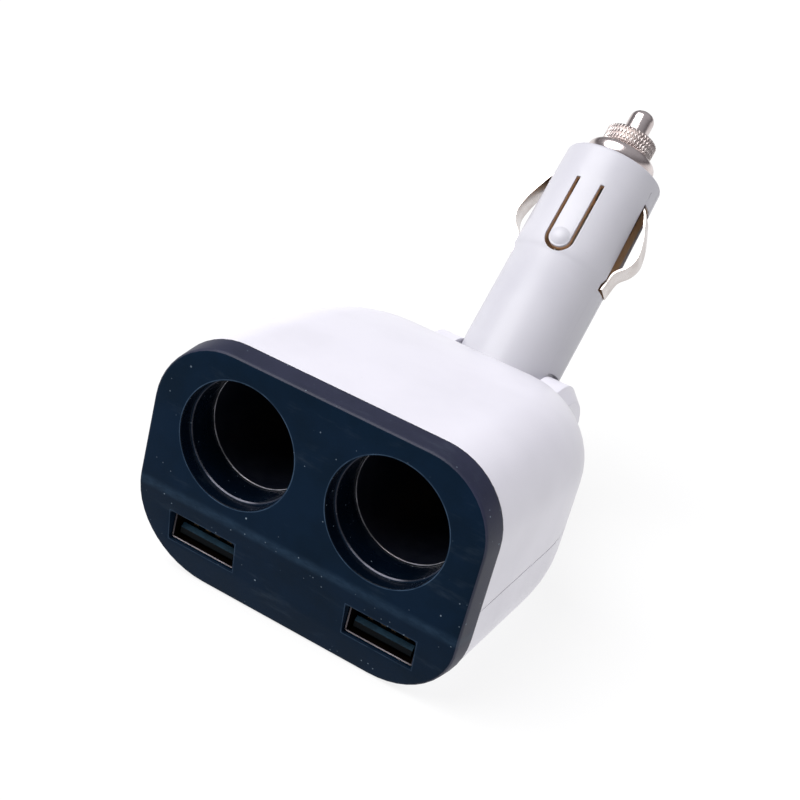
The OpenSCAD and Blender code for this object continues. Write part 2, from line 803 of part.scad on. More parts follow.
// Middle line of a side contact, from its root inside the head to its foot
bow_points = [
  [hollow_r - 0.2, head_hollow_end - 0.3], [hollow_r + 0.1, slot_top + 1.7],
  [hollow_r + 0.5, slot_top + 0.8], [stem_r - 0.95, slot_top - 0.1],
  [stem_r + 0.3, slot_top - 1.5], [bow_r - 2.1, slot_top - 3.3],
  [bow_r - 1.25, slot_top - 5.4], [bow_r - 0.6, slot_top - 7.3], [bow_r - 0.1, slot_top - 9.5],
  [bow_r, slot_top - 11.1], [bow_r - 0.4, slot_top - 12.6], [bow_r - 1.2, slot_top - 13.9],
  [bow_r - 2.1, slot_top - 14.8], [stem_r + 0.5, slot_top - 15.7], [stem_r + 0.2, slot_top - 16.9],
  [stem_r, slot_foot + 2], [stem_r - 0.2, slot_foot + 0.5]
];

// Smooth curve through a list of points
function smooth(p, steps) = concat([for (i = [0:len(p) - 2], k = [0:steps - 1])
  let (
    t = k / steps,
    a = p[max(0, i - 1)],
    b = p[i],
    c = p[i + 1],
    d = p[min(len(p) - 1, i + 2)]
  )
  b + (c - a) * t / 2 + (2 * a - 5 * b + 4 * c - d) * t * t / 2
    + (3 * b - a - 3 * c + d) * t * t * t / 2], [p[len(p) - 1]]);

// Points set off to one side of a curve
function beside(p, off) = [for (i = [0:len(p) - 1])
  let (d = p[min(len(p) - 1, i + 1)] - p[max(0, i - 1)])
  p[i] + off * [-d[1], d[0]] / norm(d)];

module side_contact(side) color(nickel) on_stem() scale([side, 1, 1]) {
  line = smooth(bow_points, 4);
  far_side = beside(line, -bow_t / 2);
  translate([0, bow_w / 2, 0]) rotate([90, 0, 0]) linear_extrude(bow_w)
    polygon(concat(beside(line, bow_t / 2),
      [for (i = [len(far_side) - 1:-1:0]) far_side[i]]));
}

module stem_leads() color([0.12, 0.12, 0.13]) on_stem() {
  wire([[0.9, 0, 1.6], [0.9, 0, seat_s - seat_t]]);
  for (x = [-1, 1])
    wire([[x * 2, 1.2, 3], [x * 4.2, 4.6, 9], [x * 4.2, 4.6, slot_top - 4.5],
      [x * 7.3, 1.8, slot_top - 1.1], [x * (hollow_r - 1.25), 0.8, head_hollow_end - 1.1]]);
}

module spring_terminal() color(brass) on_stem() translate([0, 0, seat_s - seat_t])
  cylinder(r = seat_r, h = seat_t);

// Coil spring behind the fuse
module tip_spring() color(plain_steel) on_stem() {
  coil_r = 2.3;
  coil_wire = 0.35;
  turns = 6;
  steps = 14;
  low = seat_s + coil_wire;
  rise = fuse_back - coil_wire - low;
  tube([for (k = [0:turns * steps]) let (a = 360 * k / steps)
    [coil_r * cos(a), coil_r * sin(a), low + rise * k / (turns * steps)]], coil_wire, [0, 0, 1], 6);
}

module fuse() color([0.80, 0.82, 0.80]) on_stem() translate([0, 0, fuse_back]) {
  cap = 6;
  cylinder(r = fuse_r, h = cap);
  cylinder(r = fuse_r - 0.3, h = fuse_len);
  translate([0, 0, fuse_len - cap]) cylinder(r = fuse_r, h = cap);
}

module contact_pin() color(nickel) on_stem() {
  dome = 1.9;
  rotate_extrude() polygon(concat(
    [[0, fuse_front], [collar_rad, fuse_front], [collar_rad, pin_shoulder],
      [pin_r, pin_shoulder], [pin_r, tip_s + pin_out - dome]],
    [for (a = [15:15:75]) [pin_r - dome + dome * cos(a), tip_s + pin_out - dome + dome * sin(a)]],
    [[pin_r - dome, tip_s + pin_out], [0, tip_s + pin_out]]));
}

module tip_washer() color([0.24, 0.18, 0.13]) on_stem() translate([0, 0, stem_end])
  difference() {
    cylinder(r = washer_r, h = washer_t);
    translate([0, 0, -1]) cylinder(r = skirt_r + tip_gap, h = washer_t + 2);
  }

// Turned and nickel-plated tip: skirt, tall flange and knurled ring
module nose_cap() color(nickel) on_stem() {
  neck_r = knurl_r - 0.6;
  rim = 0.9;
  flange_top = flange_s + flange_h;
  difference() {
    union() {
      rotate_extrude() polygon(concat(
        [[0, flange_s - skirt_len], [skirt_r, flange_s - skirt_len], [skirt_r, flange_s]],
        [for (a = [-90:22.5:0]) [flange_r - rim + rim * cos(a), flange_s + rim + rim * sin(a)]],
        [for (a = [0:22.5:90]) [flange_r - rim + rim * cos(a), flange_top - rim + rim * sin(a)]],
        [[neck_r, flange_top], [neck_r, ring_s + 0.2], [0, ring_s + 0.2]]));
      intersection() {
        translate([0, 0, ring_s]) linear_extrude(knurl_h) polygon([
          for (i = [0:2 * knurl_n - 1]) let (r = knurl_r - 0.28 * (i % 2), a = 180 * i / knurl_n)
            r * [cos(a), sin(a)]]);
        rotate_extrude() polygon([[0, ring_s], [knurl_r - 0.45, ring_s], [knurl_r + 0.05, ring_s + 0.5],
          [knurl_r + 0.05, tip_s - 0.5], [knurl_r - 0.45, tip_s], [0, tip_s]]);
      }
    }
    translate([0, 0, flange_s - skirt_len - 1])
      cylinder(r = collar_rad + tip_gap, h = pin_shoulder - flange_s + skirt_len + 1);
    cylinder(r = pin_r + tip_gap, h = far);
  }
}

face_panel();
upper_shell();
lower_shell();
socket_liner(-1);  // left_socket_liner
socket_liner(1);  // right_socket_liner
socket_well(-1);  // left_socket_well
socket_well(1);  // right_socket_well
centre_contact(-1);  // left_centre_contact
centre_contact(1);  // right_centre_contact
positive_bus_strip();
ground_bus_strip();
usb_shell(-1);  // left_usb_shell
usb_shell(1);  // right_usb_shell
usb_tongue(-1);  // left_usb_tongue
usb_tongue(1);  // right_usb_tongue
usb_contacts(-1);  // left_usb_contacts
usb_contacts(1);  // right_usb_contacts
circuit_board();
power_inductor();
capacitors();
charger_chip();
body_leads();
body_screws();
stem_front_shell();
stem_back_shell();
side_contact(-1);  // left_side_contact
side_contact(1);  // right_side_contact
stem_leads();
spring_terminal();
tip_spring();
fuse();
contact_pin();
tip_washer();
nose_cap();
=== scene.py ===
# Car power splitter with two sockets, two USB ports and a folding plug stem
import json
import math
import bmesh
import bpy
from mathutils import Matrix, Vector


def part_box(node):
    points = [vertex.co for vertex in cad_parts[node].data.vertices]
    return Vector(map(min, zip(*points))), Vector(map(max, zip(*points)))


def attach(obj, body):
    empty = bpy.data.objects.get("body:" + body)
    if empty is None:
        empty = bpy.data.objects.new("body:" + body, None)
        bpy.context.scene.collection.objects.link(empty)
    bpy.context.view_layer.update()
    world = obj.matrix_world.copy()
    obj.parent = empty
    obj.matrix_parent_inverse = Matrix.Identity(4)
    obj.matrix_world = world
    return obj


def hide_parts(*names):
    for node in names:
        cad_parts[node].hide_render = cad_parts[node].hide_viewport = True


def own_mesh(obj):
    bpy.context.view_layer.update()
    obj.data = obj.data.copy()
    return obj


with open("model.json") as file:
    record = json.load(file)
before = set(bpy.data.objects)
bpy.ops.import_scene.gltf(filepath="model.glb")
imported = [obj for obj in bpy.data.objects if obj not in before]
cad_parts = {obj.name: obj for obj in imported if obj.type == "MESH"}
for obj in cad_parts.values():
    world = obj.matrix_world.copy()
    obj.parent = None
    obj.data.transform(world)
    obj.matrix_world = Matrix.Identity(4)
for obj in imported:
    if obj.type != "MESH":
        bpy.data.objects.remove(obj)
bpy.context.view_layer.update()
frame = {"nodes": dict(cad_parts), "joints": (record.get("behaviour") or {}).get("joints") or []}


def joint(name):
    return next(found for found in frame["joints"] if found["name"] == name)


mm = 0.001
toMm = 1000
scene = bpy.context.scene
print("frame loaded with", len(frame["nodes"]), "nodes")

# Solved from the two round mouths in the photograph
cameraView = {
    "lens": 69.33,
    "place": (0.0927354, -0.2173691, 0.1500286),
    "right": (0.8454299, 0.4802091, 0.2337678),
    "down": (0.401578, -0.2829863, -0.8710074),
    "forward": (-0.3521126, 0.8302517, -0.4320865),
}


def makeCamera(view):
    data = bpy.data.cameras.new("camera")
    data.lens = view["lens"]
    data.clip_start = 0.01
    obj = bpy.data.objects.new("camera", data)
    scene.collection.objects.link(obj)
    right, down, forward = (Vector(view[k]) for k in ("right", "down", "forward"))
    turn = Matrix((right, -down, -forward)).transposed().to_4x4()
    obj.matrix_world = Matrix.Translation(view["place"]) @ turn
    scene.camera = obj


makeCamera(cameraView)
print("camera set")


# Shader maths: a value wraps one socket, and an expression on values adds its nodes
class Value:
    def __init__(self, finish, socket):
        self.finish = finish
        self.socket = socket

    def math(self, operation, *values):
        sockets = dict(enumerate((self,) + values))
        return self.finish.node("ShaderNodeMath", {"operation": operation}, sockets)

    def __add__(self, other):
        return self.math("ADD", other)

    def __sub__(self, other):
        return self.math("SUBTRACT", other)

    def __rsub__(self, other):
        return self.finish.node("ShaderNodeMath", {"operation": "SUBTRACT"}, {0: other, 1: self})

    def __mul__(self, other):
        return self.math("MULTIPLY", other)

    def __truediv__(self, other):
        return self.math("DIVIDE", other)

    def __pow__(self, other):
        return self.math("POWER", other)

    __radd__ = __add__
    __rmul__ = __mul__


# One material or sky under construction, with the few steps that its recipes share
class Finish:
    def __init__(self, name, sky=None):
        self.material = sky or bpy.data.materials.new(name)
        self.material.use_nodes = True
        self.tree = self.material.node_tree
        self.tree.nodes.clear()
        self.place = self.node("ShaderNodeTexCoord", out="Generated" if sky else "Object")

    def node(self, kind, settings=None, sockets=None, out=0):
        made = self.tree.nodes.new(kind)
        for key, value in (settings or {}).items():
            setattr(made, key, value)
        for key, value in (sockets or {}).items():
            if isinstance(value, Value):
                self.tree.links.new(value.socket, made.inputs[key])
            else:
                made.inputs[key].default_value = value
        return made if out is None else Value(self, made.outputs[out])

    def vector(self, operation, *values, out="Vector"):
        return self.node("ShaderNodeVectorMath", {"operation": operation}, dict(enumerate(values)), out)

    # Position on the piece in millimetres, stretched along the axes
    def millimetres(self, stretch=(1, 1, 1)):
        return self.vector("MULTIPLY", self.place, tuple(toMm * share for share in stretch))

    def axis(self, name):
        return self.node("ShaderNodeSeparateXYZ", sockets={0: self.millimetres()}, out=name)

    # Clouds of about this many millimetres
    def noise(self, size, detail=3, rough=0.5, stretch=(1, 1, 1)):
        return self.node("ShaderNodeTexNoise", sockets={
            "Vector": self.millimetres(stretch), "Scale": 1 / size, "Detail": detail, "Roughness": rough})

    # Round grains: 0 at the middle of each cell, growing outwards
    def cells(self, size, stretch=(1, 1, 1), out="Distance"):
        return self.node("ShaderNodeTexVoronoi", sockets={
            "Vector": self.millimetres(stretch), "Scale": 1 / size}, out=out)

    # From start to end, softly, while the value goes from low to high
    def fade(self, value, low, high, start=0.0, end=1.0):
        return self.node("ShaderNodeMapRange", {"interpolation_type": "SMOOTHSTEP"},
                         {"Value": value, "From Min": low, "From Max": high, "To Min": start, "To Max": end})

    def mix(self, mask, first, second):
        return self.node("ShaderNodeMix", {"data_type": "RGBA"}, {0: mask, 6: first, 7: second}, out=2)

    def bump(self, height, depth, under=None):
        sockets = {"Height": height, "Strength": 1.0, "Distance": depth * mm}
        if under is not None:
            sockets["Normal"] = under
        return self.node("ShaderNodeBump", sockets=sockets)

    # Normal of an edge that is rounded by this radius
    def edge(self, radius):
        return self.node("ShaderNodeBevel", {"samples": 4}, {"Radius": radius * mm})

    # Grains in a few of the cells only, picked by each cell's own random tone
    def specks(self, size, radius, share, stretch=(1, 1, 1)):
        dot = self.fade(self.cells(size, stretch), radius * 0.6 / size, radius / size, 1, 0)
        return dot * self.fade(self.cells(size, stretch, "Color"), 0.74 - share, 0.75 - share, 0, 1)

    # A thin line just outside a border, from the distance to that border
    def outline(self, distance):
        return self.fade(distance, 0.03, 0.08) * self.fade(distance, 0.14, 0.26, 1, 0)

    def done(self, sockets):
        shader = self.node("ShaderNodeBsdfPrincipled", sockets=sockets, out="BSDF")
        end = self.tree.nodes.new("ShaderNodeOutputMaterial")
        self.tree.links.new(shader.socket, end.inputs["Surface"])
        return self.material


# A colour picked in screen values, turned into the linear values that shaders take
def screen(*tones):
    shares = [tone / 255 for tone in tones]
    return tuple(v / 12.92 if v < 0.04 else ((v + 0.055) / 1.055) ** 2.4 for v in shares) + (1.0,)


# The stem's own directions at rest
foldAngle = math.radians(51.9)
stemAxis = Vector((0, math.cos(foldAngle), math.sin(foldAngle)))
stemAcross = Vector((0, math.sin(foldAngle), -math.cos(foldAngle)))
hinge = Vector(joint("plug_fold")["pos_m"])

whitePlastic = {
    "colour": (225, 223, 232), "shade": (220, 218, 227), "dust": (176, 172, 175),
    "rough": 0.34, "grain": 0.3, "edge": 0.35,
}
stemPlastic = dict(whitePlastic, colour=(194, 193, 200), shade=(188, 187, 195), rough=0.4, edge=0.25)
# Warm tint inside the stem: painted reflection of the brass within
stemBrassReflection = {"colour": (222, 182, 136), "radius": (10.12, 10.33), "start": (28, 31), "stop": (56, 56.5)}


# Satin moulding with a fine grain, faint smears and a little dust; a warm tint on the inner walls of the stem
# is painted reflection of the brass in it
def makeWhite(name, look, brassReflection=None):
    f = Finish(name)
    cloud = f.fade(f.noise(16, 3), 0.35, 0.7)
    speck = f.specks(4.2, 0.12, 0.1)
    smear = f.fade(f.noise(5, 4, 0.6, (1, 1, 0.3)), 0.5, 0.75)
    colour = f.mix(cloud, screen(*look["colour"]), screen(*look["shade"]))
    colour = f.mix(speck * 0.55, colour, screen(*look["dust"]))
    if brassReflection:
        # Painted reflection: the stem's inner walls tinted warm by the brass inside
        fromHinge = f.vector("SUBTRACT", f.place, tuple(hinge))
        off = f.vector("CROSS_PRODUCT", fromHinge, tuple(stemAxis))
        radius = f.vector("LENGTH", off, out="Value") * toMm
        along = f.vector("DOT_PRODUCT", fromHinge, tuple(stemAxis), out="Value") * toMm
        brassReflectionMask = f.fade(radius, *brassReflection["radius"], 1, 0) * f.fade(along, *brassReflection["start"])
        brassReflectionMask = brassReflectionMask * f.fade(along, *brassReflection["stop"], 1, 0)
        colour = f.mix(brassReflectionMask * (0.75 + f.noise(3, 3) * 0.25), colour, screen(*brassReflection["colour"]))
    rough = look["rough"] + smear * 0.07 + f.noise(0.8, 2) * 0.05 + speck * 0.2
    relief = f.bump(f.noise(7, 2), 0.012, f.edge(look["edge"]))
    return f.done({
        "Base Color": colour, "Roughness": rough, "Normal": f.bump(f.cells(look["grain"]), 0.005, relief),
        "IOR": 1.49, "Specular IOR Level": 0.42, "Coat Weight": 0.1, "Coat Roughness": 0.15,
    })


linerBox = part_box("right_socket_liner")
socket = (linerBox[0] + linerBox[1]) / 2 / mm


# Distance from a socket's axis in millimetres, and how nearly a point lies in the direction below it
def aroundSocket(f, below):
    side = f.axis("X")
    across = side - side.math("SIGN") * socket.x
    upward = f.axis("Z") - socket.z
    radius = (across * across + upward * upward) ** 0.5
    return radius, (across * below[0] + upward * below[1]) / radius


# The crease, rim and light step-edge colours below are painted highlights
darkPlastic = {
    "colour": (7, 25, 43), "shade": (5, 21, 36), "dust": (132, 148, 162), "crease": (34, 52, 70),
    "rough": 0.5, "grain": 0.28, "edge": 0.35, "shine": 0.035, "rim": (58, 76, 96), "paintedLight": (188, 188, 204),
}
# The band's lighter colour is painted light: a lit copy of the face's plastic
bandLitCopy = dict(darkPlastic, colour=(36, 39, 60), shade=(29, 33, 52), rough=0.5, shine=0.28, edge=0.5)
# The mouths' darker colour is painted shade inside the recesses
mouthShadedCopy = dict(darkPlastic, colour=(4, 13, 26), shade=(3, 10, 21), rough=0.28, shine=0.2, edge=0.45)
creaseHeight = 15.7
# The last pair points to the side of each mouth where the painted highlights are strongest
mouthEdge = {"radius": 11.1, "step": 10.7, "stepAt": -22.6, "paintedGlintSide": (-0.1, -0.995)}
portEdge = {"x": 17.8, "z": 8.9, "halfWidth": 6.7, "halfHeight": 3.05}


# Matt moulding with dust in its grain, a painted highlight along the crease, and painted highlights at the
# edges of its openings and on the mouths' steps
def makeDark(name, look):
    f = Finish(name)
    cloud = f.fade(f.noise(11, 4, 0.6), 0.35, 0.7)
    dots = f.specks(1.3, 0.15, 0.2) * 0.6 + f.specks(2.9, 0.19, 0.24) * 0.8 + f.specks(6.1, 0.22, 0.2)
    lint = f.specks(5.3, 0.2, 0.12, (1, 0.6, 0.3)) * 0.6
    dirt = (dots + lint).math("MINIMUM", 1.0) * f.fade(f.noise(9, 3), 0.4, 0.56, 0.35, 1)
    streak = f.fade(f.noise(3.5, 4, 0.7, (0.25, 1, 1)), 0.55, 0.8)
    # Painted highlight: a lighter soft band along the crease
    crease = f.fade((f.axis("Z") - creaseHeight).math("ABSOLUTE"), 0.2, 1.4, 1, 0)
    crease = crease * f.fade(f.noise(1.2, 4, 0.7, (0.4, 1, 1)), 0.3, 0.7, 0.35, 1)
    radius, paintedGlintSide = aroundSocket(f, mouthEdge["paintedGlintSide"])
    wide = (f.axis("X").math("ABSOLUTE") - portEdge["x"]).math("ABSOLUTE") - portEdge["halfWidth"]
    high = (f.axis("Z") - portEdge["z"]).math("ABSOLUTE") - portEdge["halfHeight"]
    # Painted highlight: thin light lines just outside the mouth and port edges
    rim = f.outline(radius - mouthEdge["radius"]) + f.outline(wide.math("MAXIMUM", high)) * 0.55
    # Painted highlight on each mouth's step edge, strongest on its lower side
    step = f.fade((radius - mouthEdge["step"]).math("ABSOLUTE"), 0.1, 0.24, 1, 0)
    step = step * f.fade((f.axis("Y") - mouthEdge["stepAt"]).math("ABSOLUTE"), 0.1, 0.25, 1, 0)
    paintedLight = step * f.fade(paintedGlintSide, 0.82, 0.97, 0.1, 0.6) * f.fade(f.noise(4, 3), 0.32, 0.6, 0.45, 1)
    colour = f.mix(cloud, screen(*look["colour"]), screen(*look["shade"]))
    colour = f.mix(streak * 0.05, colour, screen(*look["dust"]))
    colour = f.mix(crease * 0.7, colour, screen(*look["crease"]))
    colour = f.mix(rim * f.fade(f.noise(3, 3), 0.3, 0.65, 0.3, 0.9), colour, screen(*look["rim"]))
    colour = f.mix(paintedLight, colour, screen(*look["paintedLight"]))
    colour = f.mix(dirt * 0.8, colour, screen(*look["dust"]))
    rough = look["rough"] + streak * 0.1 - cloud * 0.05 + dirt * 0.3
    relief = f.bump(f.cells(look["grain"]), 0.008, f.edge(look["edge"]))
    return f.done({
        "Base Color": colour, "Roughness": rough, "Normal": f.bump(f.noise(0.12, 2), 0.004, relief),
        "IOR": 1.49, "Specular IOR Level": look["shine"],
    })


# The dark colours are painted shade down inside the socket; the bright colour is a painted highlight
linerMetal = {
    "bright": (226, 226, 236), "dull": (15, 19, 32), "paintedLight": (24, 27, 38),
    "rough": 0.3, "lip": 0.11, "sheet": 0.4,
}


# Painted highlight on the inner lip of its front edge, strongest on the lower side; painted shade keeps it dark
# down inside
def makeLiner(name, look):
    f = Finish(name)
    deep = f.fade(f.axis("Y") - linerBox[0].y / mm, 0.12, 0.24)
    radius, paintedGlintSide = aroundSocket(f, mouthEdge["paintedGlintSide"])
    bore = (linerBox[1].x - linerBox[0].x) / 2 / mm - look["sheet"]
    lip = f.fade(radius - bore, look["lip"] * 0.6, look["lip"], 1, 0)
    lip = lip * f.fade(f.noise(5, 3), 0.38, 0.62, 0.3, 1)
    turned = f.noise(0.35, 3, 0.6, (0.06, 1, 0.06))
    blotch = f.fade(f.noise(3, 4, 0.6), 0.3, 0.75)
    # Painted highlight on the lip, fading with depth
    bright = lip * f.fade(paintedGlintSide, -0.6, 0.8, 0.5, 1) * (1 - deep)
    colour = f.mix(blotch, screen(*look["dull"]), screen(*look["paintedLight"]))
    colour = f.mix(bright, colour, screen(*look["bright"]))
    return f.done({
        "Base Color": colour, "Metallic": 0.25 + bright * 0.75,
        "Roughness": look["rough"] + turned * 0.15 + blotch * 0.15,
        "Normal": f.bump(turned, 0.006, f.edge(0.12)),
    })


# The dark colours are painted shade inside the port, the dark edge colour a painted dark reflection on the
# front, the bright colour a painted highlight
usbMetal = {
    "bright": (222, 212, 216), "edge": (52, 48, 54), "colour": (66, 52, 40), "shade": (36, 28, 22),
    "rough": 0.28, "wall": 0.2,
}


# Dark as painted shade inside and with a painted dark reflection on the front; a painted highlight on the lower
# front edge, and a little on the left one
def makeUsbMetal(name, look):
    f = Finish(name)
    low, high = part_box("right_usb_shell")
    rolled = f.noise(0.5, 4, 0.6, (0.1, 1, 1))
    stain = f.fade(f.noise(2.2, 4, 0.6), 0.4, 0.7)
    front = f.fade(f.axis("Y") - low.y / mm, 0.1, 0.35, 1, 0)
    below = f.fade(f.axis("Z") - low.z / mm, look["wall"], look["wall"] + 0.1, 1, 0)
    leftOf = [f.fade(f.axis("X") - x / mm, look["wall"], look["wall"] + 0.1, 1, 0) for x in (low.x, -high.x)]
    left = leftOf[1] + leftOf[0] * f.fade(f.axis("X"), -1, 1)
    colour = f.mix(stain * 0.6, screen(*look["colour"]), screen(*look["shade"]))
    # Painted dark reflection on the front face
    colour = f.mix(front, colour, screen(*look["edge"]))
    # Painted highlight on the lower front edge and a little on the left
    paintedGlintSide = (below + left * 0.25).math("MINIMUM", 1.0) * front * f.fade(f.noise(4, 3), 0.3, 0.6, 0.6, 1)
    colour = f.mix(paintedGlintSide, colour, screen(*look["bright"]))
    return f.done({
        "Base Color": colour, "Metallic": 1.0, "Roughness": look["rough"] + rolled * 0.15 + stain * 0.1,
        "Normal": f.bump(rolled, 0.006, f.edge(0.1)),
    })


nickelPlate = {"colour": (215, 205, 204), "shade": (170, 155, 154), "rough": 0.17, "edge": 0.1}
# Darker than the same nickel elsewhere: painted shade on the knurl
knurlShadedNickel = dict(nickelPlate, colour=(196, 187, 184), rough=0.26)
stripPlate = dict(nickelPlate, colour=(208, 202, 200), shade=(172, 160, 154), rough=0.24, edge=0.06)
plainSteel = dict(nickelPlate, colour=(188, 189, 192), shade=(140, 140, 142), rough=0.26)


# Bright metal with a faint haze, fine scratches and a few pits
def makeNickel(name, look):
    f = Finish(name)
    haze = f.fade(f.noise(5, 4, 0.55), 0.35, 0.7)
    scratch = f.fade(f.noise(0.5, 4, 0.75, (1, 0.12, 0.12)), 0.58, 0.75)
    pit = f.fade(f.cells(1.1), 0.03, 0.07, 1, 0) * f.fade(f.noise(4, 2), 0.5, 0.6)
    colour = f.mix(haze * 0.55 + pit * 0.4, screen(*look["colour"]), screen(*look["shade"]))
    return f.done({
        "Base Color": colour, "Metallic": 1.0,
        "Roughness": look["rough"] + haze * 0.1 + scratch * 0.12 + pit * 0.2,
        "Normal": f.bump(scratch * -1 + pit * -1, 0.006, f.edge(look["edge"])),
    })


brassSheet = {"colour": (205, 170, 96), "shade": (134, 98, 52), "rough": 0.26}
# Darker brass in the ports: painted shade
portBrassInShade = dict(brassSheet, colour=(112, 96, 74), shade=(70, 56, 42), rough=0.4)


# Rolled sheet with brown stains
def makeBrass(name, look):
    f = Finish(name)
    stain = f.fade(f.noise(2.5, 5, 0.6), 0.4, 0.68)
    rolled = f.noise(0.4, 3, 0.6, (0.15, 1, 1))
    colour = f.mix(stain * 0.7, screen(*look["colour"]), screen(*look["shade"]))
    return f.done({
        "Base Color": colour, "Metallic": 1.0, "Roughness": look["rough"] + stain * 0.2 + rolled * 0.1,
        "Normal": f.bump(rolled, 0.008, f.edge(0.08)),
    })


blackMoulding = {"colour": (20, 24, 28), "shade": (12, 15, 19), "rough": 0.5}
# The bevel colour is a painted highlight on the tongue's front bevel
usbTongue = {"colour": (3, 8, 12), "shade": (2, 5, 9), "bevel": (28, 54, 70), "rough": 0.42}
chipCase = {"colour": (22, 22, 24), "shade": (34, 33, 33), "rough": 0.6}
fibreRing = {"colour": (58, 42, 30), "shade": (38, 27, 20), "rough": 0.75}
wireSheath = {"colour": (132, 24, 22), "shade": (92, 15, 16), "rough": 0.45}
canSleeve = {"colour": (40, 48, 84), "shade": (28, 34, 62), "rough": 0.34}
ferriteCore = {"colour": (46, 44, 42), "shade": (62, 58, 54), "rough": 0.7}


# Plain dull material of a piece inside, clouded and grained
def makeMoulding(name, look, grain=0.2, depth=0.01):
    f = Finish(name)
    cloud = f.fade(f.noise(2.5, 4, 0.6), 0.35, 0.68)
    fine = f.noise(grain, 3, 0.6)
    colour = f.mix(cloud, screen(*look["colour"]), screen(*look["shade"]))
    return f.done({
        "Base Color": colour, "Roughness": look["rough"] + fine * 0.12 - cloud * 0.06,
        "Normal": f.bump(fine, depth, f.edge(0.12)), "Specular IOR Level": 0.4,
    })


# Black tongue of a port, with a painted highlight on its front bevel
def makeTongue(name, look):
    f = Finish(name)
    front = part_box("right_usb_tongue")[0].y / mm
    cloud = f.fade(f.noise(2.5, 4, 0.6), 0.35, 0.68)
    # Painted highlight on the upper part of the front bevel
    bevel = f.fade(f.axis("Y") - front, 0.68, 0.78, 1, 0) * f.fade(f.axis("Z") - portEdge["z"], -0.8, -0.7)
    colour = f.mix(cloud, screen(*look["colour"]), screen(*look["shade"]))
    colour = f.mix(bevel * f.fade(f.noise(2, 3), 0.3, 0.65, 0.6, 1), colour, screen(*look["bevel"]))
    return f.done({
        "Base Color": colour, "Roughness": look["rough"] + f.noise(0.2, 3, 0.6) * 0.12 - cloud * 0.06,
        "Normal": f.bump(f.noise(0.2, 3, 0.6), 0.01, f.edge(0.1)), "Specular IOR Level": 0.06,
    })


boardMask = {
    "colour": (18, 92, 50), "shade": (10, 66, 36), "track": (34, 122, 62), "pad": (196, 198, 200), "rough": 0.3,
}


# Copper tracks under the green mask, with bare tinned pads
def makeBoard(name, look):
    f = Finish(name)
    tracks = f.fade(f.node("ShaderNodeTexBrick", sockets={
        "Vector": f.millimetres((1, 1, 0)), "Scale": 0.35, "Mortar Size": 0.03, "Color1": (1, 1, 1, 1),
        "Color2": (1, 1, 1, 1), "Mortar": (0, 0, 0, 1)}), 0.2, 0.8)
    pad = f.fade(f.cells(2.9, (1, 1, 0)), 0.1, 0.13, 1, 0) * f.fade(f.noise(8, 1), 0.5, 0.52)
    colour = f.mix(tracks, screen(*look["track"]), screen(*look["colour"]))
    colour = f.mix(f.fade(f.noise(6, 3), 0.4, 0.7) * 0.5, colour, screen(*look["shade"]))
    colour = f.mix(pad, colour, screen(*look["pad"]))
    return f.done({
        "Base Color": colour, "Metallic": pad, "Roughness": look["rough"] + f.noise(1, 3) * 0.1,
        "Normal": f.bump(tracks * -1 + pad * 1.5, 0.02, f.edge(0.1)),
    })


fuseLook = {"glass": (214, 224, 222), "cap": (206, 204, 198), "capFrom": 8.8}


# Glass tube between two metal caps, told apart by the distance from its middle
def makeFuse(name, look):
    f = Finish(name)
    low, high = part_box("fuse")
    run = f.vector("DOT_PRODUCT", f.millimetres(), tuple(stemAxis), out="Value")
    ends = sorted(stemAxis.dot(Vector((0, y, z))) / mm for y in (low.y, high.y) for z in (low.z, high.z))
    middle = (ends[0] + ends[-1]) / 2
    away = (run - middle).math("ABSOLUTE")
    cap = f.fade(away, look["capFrom"], look["capFrom"] + 0.3)
    thread = f.fade((run - middle).math("PINGPONG", 0.4), 0.25, 0.35) * 0.5
    colour = f.mix(cap, screen(*look["glass"]), screen(*look["cap"]))
    return f.done({
        "Base Color": colour, "Metallic": cap, "Roughness": 0.12 + f.noise(1.2, 4) * 0.2,
        "Normal": f.bump(thread * (1 - cap), 0.02, f.edge(0.1)), "Coat Weight": 0.3,
    })


white = makeWhite("white_shell", whitePlastic)
stemWhite = makeWhite("stem_white", stemPlastic, stemBrassReflection)
faceDark = makeDark("face_plastic", darkPlastic)
finishes = {
    "nickel": makeNickel("nickel", nickelPlate),
    "knurl": makeNickel("knurled_nickel_shaded", knurlShadedNickel),
    "strip": makeNickel("spring_strip", stripPlate),
    "liner": makeLiner("socket_metal", linerMetal),
    "usbMetal": makeUsbMetal("usb_metal", usbMetal),
    "steel": makeNickel("steel", plainSteel),
    "brass": makeBrass("brass", brassSheet),
    "portContact": makeBrass("port_contacts_shaded", portBrassInShade),
    "black": makeMoulding("black_moulding", blackMoulding),
    "tongue": makeTongue("usb_tongue", usbTongue),
    "chip": makeMoulding("chip_case", chipCase, 0.1),
    "fibre": makeMoulding("fibre", fibreRing, 0.15, 0.03),
    "sheath": makeMoulding("wire_sheath", wireSheath),
    "can": makeMoulding("can_sleeve", canSleeve),
    "ferrite": makeMoulding("ferrite", ferriteCore, 0.25, 0.04),
    "board": makeBoard("board", boardMask),
    "fuse": makeFuse("fuse_glass", fuseLook),
}
bandLitFinish = makeDark("band_lit_copy", bandLitCopy)
mouthShadedFinish = makeDark("mouth_shaded_copy", mouthShadedCopy)
